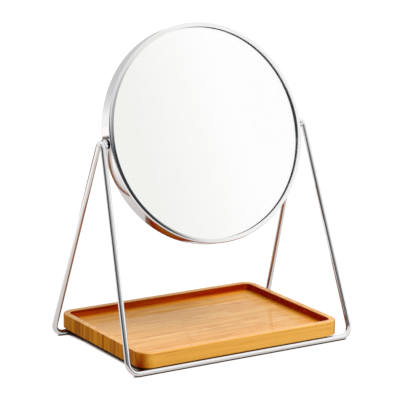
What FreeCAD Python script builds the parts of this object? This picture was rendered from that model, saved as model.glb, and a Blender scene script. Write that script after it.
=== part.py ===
"""Table-top tilting mirror on a bent wire stand, with a loose bamboo tray on its two bars.

The frame's origin is on the table under the middle of the object. +X is to the right,
-Y is the front, +Z is up, and every size is in millimetres. The stand is one closed loop
of round wire. The mirror head turns about the pivot axis, which runs along X through the
two crowns of the wire. Pieces of the head are drawn about their own +Z, the way its
front glass faces, and are then placed on the pivot axis at the tilt of the head.
"""
import FreeCAD, Part
import math
import os
import re

import Sketcher

Vector = FreeCAD.Vector

SIZES = {
    # wire stand
    "wire_diameter": 5.0,
    "stand_width": 233.6,         # between the virtual corners of a bar, on the wire's centre
    "stand_depth": 140.0,         # between the centres of the front and back bars
    "apex_width": 208.4,          # between the points where the straight legs would meet
    "apex_height": 200.0,
    "bar_bend_radius": 10.0,
    "crown_bend_radius": 4.4,
    # mirror head
    "pivot_height": 190.2,
    "mirror_tilt": 17.0,          # degrees that the front glass looks up
    "ring_diameter": 198.4,
    "view_diameter": 190.0,
    "ring_thickness": 16.1,
    "sheet_thickness": 0.7,
    "rim_round": 1.5,
    "nesting_gap": 0.04,
    "lip_edge_round": 0.3,
    "glass_diameter": 194.4,
    "glass_thickness": 3.0,
    "glass_edge": 0.3,
    "magnifier_radius": 2500.0,   # of the dished rear face
    "foam_thickness": 0.6,
    "foam_diameter": 187.0,
    "foam_hole_diameter": 150.0,
    "core_notch_width": 7.0,
    "core_notch_depth": 3.6,
    # pivots
    "screw_diameter": 3.0,
    "screw_head_diameter": 5.5,
    "screw_head_height": 2.0,
    "screw_slot_width": 0.8,
    "screw_slot_depth": 0.9,
    "screw_tip_gap": 0.3,         # between the screw's end and the wire
    "pivot_bore": 3.1,
    "washer_bore": 3.2,
    "friction_washer_diameter": 8.4,
    "friction_washer_thickness": 1.0,
    "inner_washer_diameter": 5.6,
    "inner_washer_thickness": 0.5,
    "spring_washer_height": 0.55,
    "spring_washer_thickness": 0.3,
    "pivot_play": 0.05,
    "boss_diameter": 9.0,
    "boss_saddle": 0.9,           # how far the boss reaches past the wire's inner side
    "boss_edge": 0.5,
    # tray
    "tray_width": 209.0,
    "tray_depth": 153.0,
    "tray_height": 13.9,
    "tray_corner_radius": 13.0,
    "tray_wall": 6.0,
    "tray_recess": 8.0,
    "tray_top_round": 1.0,
    "tray_inner_round": 0.7,
    "tray_bottom_round": 1.3,
    "tray_floor_round": 2.0,
    "tray_lift": 0.3,             # air between the tray and the tops of the bars
    "tray_setback": 1.5,          # of the tray's front from the front of the wire
}

doc = FreeCAD.newDocument("tilting_mirror")
sheet = doc.addObject("Spreadsheet::Sheet", "Sizes")
for row, (name, size) in enumerate(SIZES.items(), start=1):
    sheet.set(f"A{row}", name)
    sheet.set(f"B{row}", str(size))
    sheet.setAlias(f"B{row}", name)
doc.recompute()


def bound(formula):
    """A formula in the sheet's plain names, rewritten so that an expression finds them."""
    def full_name(word):
        return f"Sizes.{word[0]}" if word[0] in SIZES else word[0]
    return re.sub(r"[a-z_]{3,}", full_name, formula)


def size(formula):
    """The number that a formula gives now."""
    result = sheet.evalExpression(bound(formula))
    return float(getattr(result, "Value", result))


def drive(thing, **formulas):
    """Bind properties of an object to formulas in the sheet's names."""
    for name, formula in formulas.items():
        thing.setExpression(name, bound(formula))


# Places along Y and X that several pieces share.
OVERALL_DEPTH = "(tray_setback + tray_depth)"
FRONT_BAR_Y = f"(wire_diameter / 2 - {OVERALL_DEPTH} / 2)"
PIVOT_Y = f"({FRONT_BAR_Y} + stand_depth / 2)"
RING_RADIUS = "(ring_diameter / 2)"
LENS_FACE = "(ring_thickness / 2 - sheet_thickness)"
REAR_BAND_RADIUS = f"({RING_RADIUS} - sheet_thickness - nesting_gap)"
REAR_BAND_BORE = f"({REAR_BAND_RADIUS} - sheet_thickness)"


# ---------------------------------------------------------------- sketch helpers

def new_body(label):
    """An empty body with a name of its own."""
    body = doc.addObject("PartDesign::Body", label)
    body.Label = label
    return body


def new_sketch(body, plane, name):
    """A sketch on one of the body's own origin planes."""
    sketch = body.newObject("Sketcher::SketchObject", name)
    origin_plane = next(f for f in body.Origin.OriginFeatures if f.Role == plane)
    sketch.AttachmentSupport = [(origin_plane, "")]
    sketch.MapMode = "FlatFace"
    return sketch


def draw_outline(sketch, corners):
    """A closed outline of straight lines, each corner held by two formulas."""
    points = [Vector(size(across), size(up), 0) for across, up in corners]
    count = len(points)
    for index in range(count):
        end = points[(index + 1) % count]
        sketch.addGeometry(Part.LineSegment(points[index], end), False)
    for index, (across, up) in enumerate(corners):
        sketch.addConstraint(
            Sketcher.Constraint("Coincident", index - 1 if index else count - 1, 2, index, 1))
        for kind, formula in (("DistanceX", across), ("DistanceY", up)):
            place = sketch.addConstraint(
                Sketcher.Constraint(kind, -1, 1, index, 1, size(formula)))
            sketch.setExpression(f"Constraints[{place}]", bound(formula))


def draw_circle(sketch, diameter, name="Diameter"):
    """A circle about the sketch's origin."""
    circle = Part.Circle(Vector(0, 0, 0), Vector(0, 0, 1), size(diameter) / 2)
    edge = sketch.addGeometry(circle, False)
    sketch.addConstraint(Sketcher.Constraint("Coincident", edge, 3, -1, 1))
    place = sketch.addConstraint(Sketcher.Constraint("Diameter", edge, size(diameter)))
    sketch.renameConstraint(place, name)
    sketch.setExpression(f"Constraints.{name}", bound(diameter))


def turned_body(label, corners):
    """A piece turned about its own Z from an outline of radii and heights."""
    body = new_body(label)
    profile = new_sketch(body, "XZ_Plane", f"{label}_profile")
    draw_outline(profile, corners)
    turn = body.newObject("PartDesign::Revolution", f"{label}_turned")
    turn.Profile = profile
    turn.ReferenceAxis = (profile, ["V_Axis"])
    turn.Angle = 360
    doc.recompute()
    return body


def ring_corners(bore, diameter, low, high):
    """The outline of a plain ring or washer."""
    return [(f"{bore} / 2", low), (f"{diameter} / 2", low),
            (f"{diameter} / 2", high), (f"{bore} / 2", high)]


def edges_where(shape, test):
    """Names of the edges whose bounding box passes a test."""
    return [f"Edge{number}" for number, edge in enumerate(shape.Edges, start=1)
            if test(edge.BoundBox)]


def dress(body, kind, test, name, **formulas):
    """Round or chamfer the edges of a body's tip that pass a test."""
    tip = body.Tip
    edges = edges_where(tip.Shape, test)
    if not edges:
        raise RuntimeError(f"{name} finds no edge")
    feature = body.newObject(f"PartDesign::{kind}", name)
    feature.Base = (tip, edges)
    drive(feature, **formulas)
    doc.recompute()


def near(first, second):
    """True where two lengths agree."""
    return abs(first - second) < 0.01


def circle_edge(diameter, height):
    """A test for a level circular edge of one diameter at one height."""
    across, level = size(diameter), size(height)
    return lambda box: (near(box.XLength, across) and near(box.ZLength, 0)
                        and near(box.ZMin, level))


# ---------------------------------------------------------------- placing

def place_on_pivot(piece):
    """Put a piece of the head on the pivot axis, its +Z the way the front glass faces."""
    piece.Placement = FreeCAD.Placement(Vector(), FreeCAD.Rotation(Vector(1, 0, 0), 90))
    piece.setExpression("Placement.Rotation.Angle", bound("90 - mirror_tilt"))
    piece.setExpression("Placement.Base.y", bound(PIVOT_Y))
    piece.setExpression("Placement.Base.z", bound("pivot_height"))


def place_on_axle(piece, side):
    """Put a turned piece on the pivot axis, its +Z outwards on that side."""
    piece.Placement = FreeCAD.Placement(Vector(), FreeCAD.Rotation(Vector(0, side, 0), 90))
    piece.setExpression("Placement.Base.y", bound(PIVOT_Y))
    piece.setExpression("Placement.Base.z", bound("pivot_height"))


# ---------------------------------------------------------------- wire stand

def rounded_loop(corners):
    """A closed path of straight runs, with a tangent arc of its own radius at each corner."""
    count = len(corners)
    arcs = []
    for index, (corner, radius) in enumerate(corners):
        back = (corners[index - 1][0] - corner).normalize()
        ahead = (corners[(index + 1) % count][0] - corner).normalize()
        half_angle = back.getAngle(ahead) / 2
        setback = radius / math.tan(half_angle)
        inward = (back + ahead).normalize()
        middle = corner + inward * (radius / math.sin(half_angle) - radius)
        arcs.append((corner + back * setback, middle, corner + ahead * setback))
    edges = []
    for index, (start, middle, end) in enumerate(arcs):
        previous_end = arcs[index - 1][2]
        edges.append(Part.LineSegment(previous_end, start).toShape())
        edges.append(Part.Arc(start, middle, end).toShape())
    return Part.Wire(edges)


def wire_corners():
    """The corners of the loop: the back bar, the right crown, the front bar, the left crown."""
    half_width = size("stand_width / 2")
    half_apex = size("apex_width / 2")
    front, back = size(FRONT_BAR_Y), size(f"{FRONT_BAR_Y} + stand_depth")
    level, apex = size("wire_diameter / 2"), size("apex_height")
    bar_bend, crown_bend = size("bar_bend_radius"), size("crown_bend_radius")
    pivot = size(PIVOT_Y)
    return [
        (Vector(-half_width, back, level), bar_bend),
        (Vector(half_width, back, level), bar_bend),
        (Vector(half_apex, pivot, apex), crown_bend),
        (Vector(half_width, front, level), bar_bend),
        (Vector(-half_width, front, level), bar_bend),
        (Vector(-half_apex, pivot, apex), crown_bend),
    ]


def wire_frame():
    """The stand: round wire swept round its closed path."""
    path = doc.addObject("Part::Feature", "wire_path")
    path.Shape = rounded_loop(wire_corners())
    start_edge = path.Shape.Edges[0]
    section = doc.addObject("Part::Circle", "wire_section")
    drive(section, Radius="wire_diameter / 2")
    run = start_edge.tangentAt(start_edge.FirstParameter)
    section.Placement = FreeCAD.Placement(
        start_edge.valueAt(start_edge.FirstParameter), FreeCAD.Rotation(Vector(0, 0, 1), run))
    frame = doc.addObject("Part::Sweep", "wire_frame")
    frame.Sections = [section]
    frame.Spine = (path, [f"Edge{number + 1}" for number in range(len(path.Shape.Edges))])
    frame.Solid = True
    frame.Frenet = False
    doc.recompute()
    expected = path.Shape.Length * math.pi * size("wire_diameter / 2") ** 2
    print(f"wire length {path.Shape.Length:.1f} mm, "
          f"volume {frame.Shape.Volume:.0f} of {expected:.0f} mm3")
    return frame


def wire_inner_side():
    """How far out along X the wire's side that faces the mirror is, level with its crown."""
    lean = (size("stand_width") - size("apex_width")) / 2
    rise = size("apex_height - wire_diameter / 2")
    half_depth = size("stand_depth / 2")
    leg_angle = math.atan(half_depth / rise)
    crown_drop = size("crown_bend_radius") * (1 / math.sin(leg_angle) - 1)
    crown_x = size("apex_width / 2") + lean * crown_drop / rise
    return crown_x - size("wire_diameter / 2")


# ---------------------------------------------------------------- pivots

RIM_FACE = f"({RING_RADIUS} + pivot_play)"
BOSS_FACE = f"({RIM_FACE} + friction_washer_thickness)"
INNER_WASHER_FACE = f"({REAR_BAND_BORE} - pivot_play - inner_washer_thickness)"
SPRING_WASHER_FACE = f"({INNER_WASHER_FACE} - spring_washer_height)"


def pivot_boss(name, side, frame):
    """A tapped boss whose outer end is coped to sit on the crown of the wire."""
    inner_side = wire_inner_side()
    blank = doc.addObject("Part::Cylinder", f"{name}_blank")
    drive(blank, Radius="boss_diameter / 2",
          Height=f"{inner_side} + boss_saddle - {BOSS_FACE}")
    edged = doc.addObject("Part::Chamfer", f"{name}_edged")
    edged.Base = blank
    doc.recompute()
    face_edge = edges_where(blank.Shape, circle_edge("boss_diameter", "0"))[0]
    edge = size("boss_edge")
    edged.Edges = [(int(face_edge[4:]), edge, edge)]
    tapping = doc.addObject("Part::Cylinder", f"{name}_tapping")
    drive(tapping, Radius="screw_diameter / 2",
          Height=f"{inner_side} + boss_saddle - {BOSS_FACE}")
    tapped = doc.addObject("Part::Cut", f"{name}_tapped")
    tapped.Base = edged
    tapped.Tool = tapping
    place_on_axle(tapped, side)
    tapped.setExpression("Placement.Base.x", bound(f"{side} * {BOSS_FACE}"))
    boss = doc.addObject("Part::Cut", name)
    boss.Base = tapped
    boss.Tool = frame
    doc.recompute()
    return boss


def pivot_screw(name, side):
    """A slotted cheese-head screw, put in from inside the rim."""
    length = f"({wire_inner_side()} - screw_tip_gap - {SPRING_WASHER_FACE})"
    body = turned_body(name, [
        ("0", "-screw_head_height"),
        ("screw_head_diameter / 2", "-screw_head_height"),
        ("screw_head_diameter / 2", "0"),
        ("screw_diameter / 2", "0"),
        ("screw_diameter / 2", length),
        ("0", length),
    ])
    slot_sketch = new_sketch(body, "XZ_Plane", f"{name}_slot_outline")
    half_slot = "screw_slot_width / 2"
    draw_outline(slot_sketch, [
        (f"-{half_slot}", "-screw_head_height - 1"),
        (half_slot, "-screw_head_height - 1"),
        (half_slot, "-screw_head_height + screw_slot_depth"),
        (f"-{half_slot}", "-screw_head_height + screw_slot_depth"),
    ])
    slot = body.newObject("PartDesign::Pocket", f"{name}_slot")
    slot.Profile = slot_sketch
    slot.Type = "ThroughAll"
    slot.Midplane = True
    doc.recompute()
    dress(body, "Chamfer", circle_edge("screw_diameter", length), f"{name}_point", Size="0.4")
    place_on_axle(body, side)
    body.setExpression("Placement.Base.x", bound(f"{side} * {SPRING_WASHER_FACE}"))
    return body


def flat_washer(name, side, diameter, thickness, inner_face):
    """A plain washer whose inner face stands at a given distance out."""
    body = turned_body(name, ring_corners("washer_bore", diameter, "0", thickness))
    place_on_axle(body, side)
    body.setExpression("Placement.Base.x", bound(f"{side} * {inner_face}"))
    return body


def spring_washer(name, side):
    """A conical spring washer, its rim against the washer and its crown to the screw head."""
    body = turned_body(name, [
        ("washer_bore / 2", "0"),
        ("inner_washer_diameter / 2", "spring_washer_height - spring_washer_thickness"),
        ("inner_washer_diameter / 2", "spring_washer_height"),
        ("washer_bore / 2", "spring_washer_thickness"),
    ])
    place_on_axle(body, side)
    body.setExpression("Placement.Base.x", bound(f"{side} * {SPRING_WASHER_FACE}"))
    return body


def pivot_set(name, side, frame):
    """Every piece of one pivot, from the wire inwards."""
    return [
        pivot_boss(f"pivot_boss_{name}", side, frame),
        flat_washer(f"friction_washer_{name}", side, "friction_washer_diameter",
                    "friction_washer_thickness", RIM_FACE),
        flat_washer(f"inner_washer_{name}", side, "inner_washer_diameter",
                    "inner_washer_thickness", INNER_WASHER_FACE),
        spring_washer(f"spring_washer_{name}", side),
        pivot_screw(f"pivot_screw_{name}", side),
    ]


# ---------------------------------------------------------------- mirror head

def drill_pivot_bores(body):
    """The two bores of a rim, drilled along X right through it."""
    sketch = new_sketch(body, "YZ_Plane", f"{body.Name}_bore_outline")
    draw_circle(sketch, "pivot_bore")
    before = body.Shape.Volume
    bores = body.newObject("PartDesign::Pocket", f"{body.Name}_bores")
    bores.Profile = sketch
    bores.Type = "ThroughAll"
    bores.Midplane = True
    doc.recompute()
    if body.Shape.Volume >= before:
        raise RuntimeError(f"the bores of {body.Name} cut nothing")


def front_rim():
    """The drawn steel ring with the front lip, outside the rear one."""
    seam = "(rim_round - ring_thickness / 2)"
    body = turned_body("front_rim", [
        ("view_diameter / 2", LENS_FACE),
        (f"{RING_RADIUS} - sheet_thickness", LENS_FACE),
        (f"{RING_RADIUS} - sheet_thickness", seam),
        (RING_RADIUS, seam),
        (RING_RADIUS, "ring_thickness / 2"),
        ("view_diameter / 2", "ring_thickness / 2"),
    ])
    dress(body, "Fillet", circle_edge("ring_diameter", "ring_thickness / 2"),
          "front_rim_round", Radius="rim_round")
    dress(body, "Fillet",
          circle_edge("ring_diameter - 2 * sheet_thickness", LENS_FACE),
          "front_rim_inner_round", Radius="rim_round - sheet_thickness")
    dress(body, "Fillet", circle_edge("view_diameter", "ring_thickness / 2"),
          "front_rim_lip_round", Radius="lip_edge_round")
    drill_pivot_bores(body)
    place_on_pivot(body)
    return body


def rear_rim():
    """The ring that closes the back: its band is pressed up inside the front rim."""
    seam = "(rim_round - ring_thickness / 2)"
    band_end = f"({LENS_FACE} - rim_round)"
    body = turned_body("rear_rim", [
        ("view_diameter / 2", "-ring_thickness / 2"),
        (RING_RADIUS, "-ring_thickness / 2"),
        (RING_RADIUS, seam),
        (REAR_BAND_RADIUS, seam),
        (REAR_BAND_RADIUS, band_end),
        (REAR_BAND_BORE, band_end),
        (REAR_BAND_BORE, f"-{LENS_FACE}"),
        ("view_diameter / 2", f"-{LENS_FACE}"),
    ])
    dress(body, "Fillet", circle_edge("ring_diameter", "-ring_thickness / 2"),
          "rear_rim_round", Radius="rim_round * 0.95")
    dress(body, "Fillet", circle_edge("view_diameter", "-ring_thickness / 2"),
          "rear_rim_lip_round", Radius="lip_edge_round")
    drill_pivot_bores(body)
    place_on_pivot(body)
    return body


def plain_glass():
    """The flat mirror behind the front lip, silvered on its inner face."""
    body = turned_body("plain_glass", [
        ("0", f"{LENS_FACE} - glass_thickness"),
        ("glass_diameter / 2", f"{LENS_FACE} - glass_thickness"),
        ("glass_diameter / 2", LENS_FACE),
        ("0", LENS_FACE),
    ])
    for face, height in (("front", LENS_FACE), ("back", f"{LENS_FACE} - glass_thickness")):
        dress(body, "Chamfer", circle_edge("glass_diameter", height),
              f"plain_glass_{face}_edge", Size="glass_edge")
    place_on_pivot(body)
    return body


# The centre of the dish is behind the head, and the rim of its rear face lies on the lip.
DISH_CENTRE = f"(-{LENS_FACE} - sqrt(magnifier_radius ^ 2 - (glass_diameter / 2) ^ 2))"


def dish(name, depth):
    """A ball about the centre of the rear dish, a depth larger than its dished face."""
    ball = doc.addObject("Part::Sphere", name)
    drive(ball, Radius=f"magnifier_radius + {depth}")
    ball.setExpression("Placement.Base.z", bound(DISH_CENTRE))
    return ball


def disc(name, diameter, low, high):
    """A plain disc between two heights."""
    plate = doc.addObject("Part::Cylinder", name)
    drive(plate, Radius=f"({diameter}) / 2", Height=f"({high}) - ({low})")
    plate.setExpression("Placement.Base.z", bound(low))
    return plate


def combine(kind, name, base, tool):
    """One Part boolean of two objects."""
    result = doc.addObject(f"Part::{kind}", name)
    result.Base = base
    result.Tool = tool
    return result


def magnifying_glass():
    """The dished mirror behind the rear lip, of even thickness."""
    blank = disc("magnifying_glass_blank", "glass_diameter", f"-{LENS_FACE} - 1", "ring_thickness")
    outer = combine("Common", "magnifying_glass_outer", blank,
                    dish("magnifying_glass_inner_face", "glass_thickness"))
    glass = combine("Cut", "magnifying_glass", outer, dish("magnifying_glass_rear_face", "0"))
    place_on_pivot(glass)
    return glass


def core_board():
    """The board between the glasses, with a notch for each pivot screw."""
    blank = disc("core_board_blank", "glass_diameter", f"-{LENS_FACE}",
                 f"{LENS_FACE} - glass_thickness - foam_thickness")
    board = combine("Cut", "core_board_dished", blank,
                    dish("core_board_dish", "glass_thickness + foam_thickness"))
    for side, word in ((1, "right"), (-1, "left")):
        notch = doc.addObject("Part::Box", f"core_board_notch_{word}")
        drive(notch, Length="core_notch_depth + 1", Width="core_notch_width",
              Height="ring_thickness")
        start = "glass_diameter / 2 - core_notch_depth"
        if side < 0:
            start = "-glass_diameter / 2 - 1"
        notch.setExpression("Placement.Base.x", bound(start))
        notch.setExpression("Placement.Base.y", bound("-core_notch_width / 2"))
        notch.setExpression("Placement.Base.z", bound("-ring_thickness / 2"))
        name = "core_board" if side < 0 else "core_board_one_notch"
        board = combine("Cut", name, board, notch)
    place_on_pivot(board)
    return board


def front_foam():
    """The foam sheet that beds the plain glass on the board."""
    high = f"({LENS_FACE} - glass_thickness)"
    low = f"({high} - foam_thickness)"
    body = turned_body("front_foam", [
        ("0", low), ("foam_diameter / 2", low), ("foam_diameter / 2", high), ("0", high),
    ])
    place_on_pivot(body)
    return body


def rear_foam():
    """The foam ring that beds the dished glass on the board."""
    blank = disc("rear_foam_blank", "foam_diameter", f"-{LENS_FACE}", "ring_thickness")
    hole = disc("rear_foam_hole", "foam_hole_diameter", f"-{LENS_FACE} - 1",
                "ring_thickness + 1")
    tube = combine("Cut", "rear_foam_tube", blank, hole)
    cap = combine("Common", "rear_foam_cap", tube,
                  dish("rear_foam_board_face", "glass_thickness + foam_thickness"))
    ring = combine("Cut", "rear_foam", cap, dish("rear_foam_glass_face", "glass_thickness"))
    place_on_pivot(ring)
    return ring


# ---------------------------------------------------------------- tray

def draw_tray_outline(sketch, inset):
    """The tray's plan, a given distance inside its edge."""
    half_width, half_depth = f"(tray_width / 2 - {inset})", f"(tray_depth / 2 - {inset})"
    draw_outline(sketch, [
        (f"-{half_width}", f"-{half_depth}"), (half_width, f"-{half_depth}"),
        (half_width, half_depth), (f"-{half_width}", half_depth),
    ])


def upright_edge(half_width):
    """A test for the upright edges at the corners of a rectangle."""
    across = size(half_width)
    return lambda box: (near(box.XLength, 0) and near(box.YLength, 0)
                        and near(abs(box.XMax), across))


def level_loop(height, inset):
    """A test for the level edges round the plan at one height, a given distance inside."""
    level = size(height)
    half_width, half_depth = size(f"tray_width / 2 - {inset}"), size(f"tray_depth / 2 - {inset}")
    return lambda box: (near(box.ZLength, 0) and near(box.ZMin, level)
                        and (near(max(box.XMax, -box.XMin), half_width)
                             or near(max(box.YMax, -box.YMin), half_depth)))


def tray():
    """The tray, routed from one laminated board."""
    body = new_body("tray")
    outline = new_sketch(body, "XY_Plane", "tray_outline")
    draw_tray_outline(outline, "0")
    board = body.newObject("PartDesign::Pad", "tray_board")
    board.Profile = outline
    drive(board, Length="tray_height")
    doc.recompute()
    dress(body, "Fillet", upright_edge("tray_width / 2"), "tray_corners",
          Radius="tray_corner_radius")

    recess_outline = new_sketch(body, "XY_Plane", "tray_recess_outline")
    draw_tray_outline(recess_outline, "tray_wall")
    recess_outline.AttachmentOffset = FreeCAD.Placement(
        Vector(0, 0, size("tray_height")), FreeCAD.Rotation())
    recess_outline.setExpression("AttachmentOffset.Base.z", bound("tray_height"))
    recess = body.newObject("PartDesign::Pocket", "tray_recess_cut")
    recess.Profile = recess_outline
    drive(recess, Length="tray_recess")
    before = body.Shape.Volume
    doc.recompute()
    if body.Shape.Volume >= before:
        raise RuntimeError("the recess cuts nothing")
    dress(body, "Fillet", upright_edge("tray_width / 2 - tray_wall"), "tray_recess_corners",
          Radius="tray_corner_radius - tray_wall")

    dress(body, "Fillet", level_loop("tray_height - tray_recess", "tray_wall"),
          "tray_floor_rounding", Radius="tray_floor_round")
    dress(body, "Fillet", level_loop("tray_height", "tray_wall"), "tray_inner_rounding",
          Radius="tray_inner_round")
    dress(body, "Fillet", level_loop("tray_height", "0"), "tray_top_rounding",
          Radius="tray_top_round")
    dress(body, "Fillet", level_loop("0", "0"), "tray_bottom_rounding",
          Radius="tray_bottom_round")
    body.setExpression("Placement.Base.y", bound(f"{OVERALL_DEPTH} / 2 - tray_depth / 2"))
    body.setExpression("Placement.Base.z", bound("wire_diameter + tray_lift"))
    return body


# ---------------------------------------------------------------- assembly and export

def build_pieces():
    """Every piece of the object, in the order in which it goes together."""
    frame = wire_frame()
    pieces = [frame]
    pieces += pivot_set("left", -1, frame)
    pieces += pivot_set("right", 1, frame)
    pieces += [front_rim(), plain_glass(), front_foam(), core_board(), rear_foam(),
               magnifying_glass(), rear_rim(), tray()]
    doc.recompute()
    return pieces


def check_pieces(pieces):
    """Stop on anything that failed to compute or isn't a sound solid."""
    for thing in doc.Objects:
        if {"Invalid", "Error"} & set(thing.State):
            raise RuntimeError(f"{thing.Name} is {thing.State}")
    for piece in pieces:
        shape = piece.Shape
        if shape.isNull() or not shape.isValid() or len(shape.Solids) != 1:
            raise RuntimeError(f"{piece.Label} isn't one sound solid")


all_pieces = build_pieces()
check_pieces(all_pieces)
os.makedirs("parts", exist_ok=True)
for one_piece in all_pieces:
    one_piece.Shape.exportStep(f"parts/{one_piece.Label}.step")
print(len(all_pieces), "pieces written")
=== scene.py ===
import math

import bmesh
import bpy
from mathutils import Matrix, Vector


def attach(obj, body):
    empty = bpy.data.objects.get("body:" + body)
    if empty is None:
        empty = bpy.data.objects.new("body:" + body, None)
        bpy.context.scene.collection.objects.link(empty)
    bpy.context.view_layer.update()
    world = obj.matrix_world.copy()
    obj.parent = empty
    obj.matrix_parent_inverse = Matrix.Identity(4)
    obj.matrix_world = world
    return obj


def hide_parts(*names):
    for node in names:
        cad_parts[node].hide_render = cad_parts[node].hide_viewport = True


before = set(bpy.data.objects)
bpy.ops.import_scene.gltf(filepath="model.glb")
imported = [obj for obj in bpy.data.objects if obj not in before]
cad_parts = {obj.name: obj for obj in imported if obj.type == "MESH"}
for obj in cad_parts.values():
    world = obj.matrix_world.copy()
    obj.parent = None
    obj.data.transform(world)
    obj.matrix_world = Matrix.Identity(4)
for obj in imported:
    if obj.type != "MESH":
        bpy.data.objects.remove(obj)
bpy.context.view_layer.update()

MM = 0.001
ON_AXIS = 1e-9

# ---------------------------------------------------------------- sizes, in millimetres

WIRE_DIAMETER = 5.0
STAND_HALF_WIDTH = 116.8
STAND_DEPTH = 140.0
APEX_HALF_WIDTH = 104.2
APEX_HEIGHT = 200.0
BAR_BEND = 10.0
CROWN_BEND = 4.4

PIVOT = Vector((0.0, -4.75, 190.2))
MIRROR_TILT = 17.0
RING_RADIUS = 99.2
VIEW_RADIUS = 95.0
RING_HALF_THICKNESS = 8.05
SHEET = 0.7
FRONT_ROUND = 1.5
REAR_ROUND = 1.425
LIP_EDGE_ROUND = 0.3
LIP_INNER_LEAN, LIP_OUTER_LEAN = math.radians(2.5), math.radians(6.0)
NESTING_GAP = 0.04
LENS_FACE = RING_HALF_THICKNESS - SHEET
SEAM = FRONT_ROUND - RING_HALF_THICKNESS
REAR_BAND = RING_RADIUS - SHEET - NESTING_GAP
REAR_BAND_BORE = REAR_BAND - SHEET
REAR_BAND_END = LENS_FACE - FRONT_ROUND

GLASS_RADIUS = 97.2
GLASS_THICKNESS = 3.0
GLASS_EDGE = 0.3
SILVER_THICKNESS = 0.12
SILVER_GAP = 0.02
DISH_RADIUS = 2500.0

PIVOT_BORE = 3.1
WASHER_BORE = 3.2
FRICTION_WASHER_DIAMETER = 8.4
FRICTION_WASHER_THICKNESS = 1.0
FRICTION_WASHER_EDGE = 0.12
PIVOT_PLAY = 0.05
DRILL_OVERRUN = 5.0
BOSS_DIAMETER = 9.0
BOSS_TAPPING = 3.0
BOSS_EDGE = 0.5
BOSS_EDGE_IN, BOSS_EDGE_UP = 0.15, 0.18
BOSS_END = 103.16

TRAY_WIDTH = 209.0
TRAY_DEPTH = 153.0
TRAY_HEIGHT = 13.9
TRAY_CORNER = 13.0
TRAY_WALL = 6.0
TRAY_RECESS = 8.0
TRAY_TOP_ROUND = 1.0
TRAY_INNER_ROUND = 0.7
TRAY_BOTTOM_ROUND = 1.3
TRAY_FLOOR_ROUND = 2.0
TRAY_MIDDLE_Y = 0.75
TRAY_BOTTOM_Z = 5.3
TRAY_FOOT_BAND = 8.0
LEAST_CORNER = 0.5

# ---------------------------------------------------------------- fineness of the meshes

RING_STEPS = 288
SMALL_RING_STEPS = 64
WIRE_SIDES = 48
WIRE_BEND_STEPS = 28
LIP_EDGE_STEPS, LIP_CROWN_STEPS, LIP_BAND_STEPS, LIP_BACK_STEPS = 6, 8, 12, 8
DISH_STEPS = 14
TRAY_CORNER_STEPS = 14
TRAY_EDGE_STEPS, TRAY_INNER_STEPS, TRAY_FOOT_STEPS = 8, 6, 10
SHARP_ANGLE = math.radians(32)
GLASS_SHARP_ANGLE = math.radians(20)
TRAY_SHARP_ANGLE = math.radians(60)


# ---------------------------------------------------------------- node helpers

def join(tree, value, socket):
    """Link an output to a socket, or set the socket's plain value."""
    if isinstance(value, bpy.types.NodeSocket):
        tree.links.new(value, socket)
    else:
        socket.default_value = value


def feed(tree, to, inputs):
    """Join or set several inputs of a node, each given by its name or number."""
    for name, value in inputs.items():
        join(tree, value, to.inputs[name])


def node(tree, kind, inputs=None, **properties):
    """A new node, with its properties set and its inputs set or joined."""
    new = tree.nodes.new(kind)
    for name, value in properties.items():
        setattr(new, name, value)
    feed(tree, new, inputs or {})
    return new


def maths(tree, operation, *values, clamp=False):
    """The output of a Math node."""
    return node(tree, "ShaderNodeMath", dict(enumerate(values)),
                operation=operation, use_clamp=clamp).outputs[0]


def ramp_between(tree, value, low, high, start=0.0, end=1.0):
    """A smooth step of a value, from start at low to end at high."""
    return node(tree, "ShaderNodeMapRange", {
        "Value": value, "From Min": low, "From Max": high, "To Min": start, "To Max": end,
    }, interpolation_type="SMOOTHSTEP").outputs["Result"]


MIX_FACTOR, MIX_FIRST, MIX_SECOND, MIX_COLOUR = 0, 6, 7, 2


def blend_colours(tree, factor, first, second, how="MIX"):
    """The colour output of a Mix node, whose colour sockets share their names with others."""
    new = node(tree, "ShaderNodeMix", data_type="RGBA", blend_type=how)
    feed(tree, new, {MIX_FACTOR: factor, MIX_FIRST: first, MIX_SECOND: second})
    return new.outputs[MIX_COLOUR]


def noise(tree, vector, scale, detail=2.0, roughness=0.5):
    """The value output of a Noise texture."""
    return node(tree, "ShaderNodeTexNoise", {
        "Vector": vector, "Scale": scale, "Detail": detail, "Roughness": roughness,
    }).outputs["Fac"]


def scaled(tree, vector, factors):
    """A vector stretched along its axes."""
    return node(tree, "ShaderNodeVectorMath", {0: vector, 1: factors},
                operation="MULTIPLY").outputs["Vector"]


def new_group(name, kind, inputs, outputs):
    """An empty node group with named sockets, and its input and output nodes."""
    group = bpy.data.node_groups.new(name, kind)
    for in_out, sockets in (("INPUT", inputs), ("OUTPUT", outputs)):
        for socket_name, socket_type, default in sockets:
            made = group.interface.new_socket(socket_name, in_out=in_out, socket_type=socket_type)
            if default is not None:
                made.default_value = default
    return group, group.nodes.new("NodeGroupInput"), group.nodes.new("NodeGroupOutput")


def place_group(tree, group, inputs):
    """The outputs of a shader group placed in a material's tree."""
    return node(tree, "ShaderNodeGroup", inputs, node_tree=group).outputs


def new_material(name):
    """A material, its tree, its shader and its object coordinates."""
    material = bpy.data.materials.new(name)
    material.use_nodes = True
    tree = material.node_tree
    shader = tree.nodes["Principled BSDF"]
    coordinates = tree.nodes.new("ShaderNodeTexCoord")
    return material, tree, shader, coordinates


def attribute(tree, name):
    """The value that a painted zone of the mesh has here."""
    return node(tree, "ShaderNodeAttribute", attribute_name=name).outputs["Fac"]


def relief(tree, shader, height, depth, strength=0.5):
    """Give a shader fine relief from a height."""
    bump = node(tree, "ShaderNodeBump", {"Height": height, "Distance": depth,
                                         "Strength": strength})
    join(tree, bump.outputs["Normal"], shader.inputs["Normal"])


# ---------------------------------------------------------------- shader groups

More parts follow.
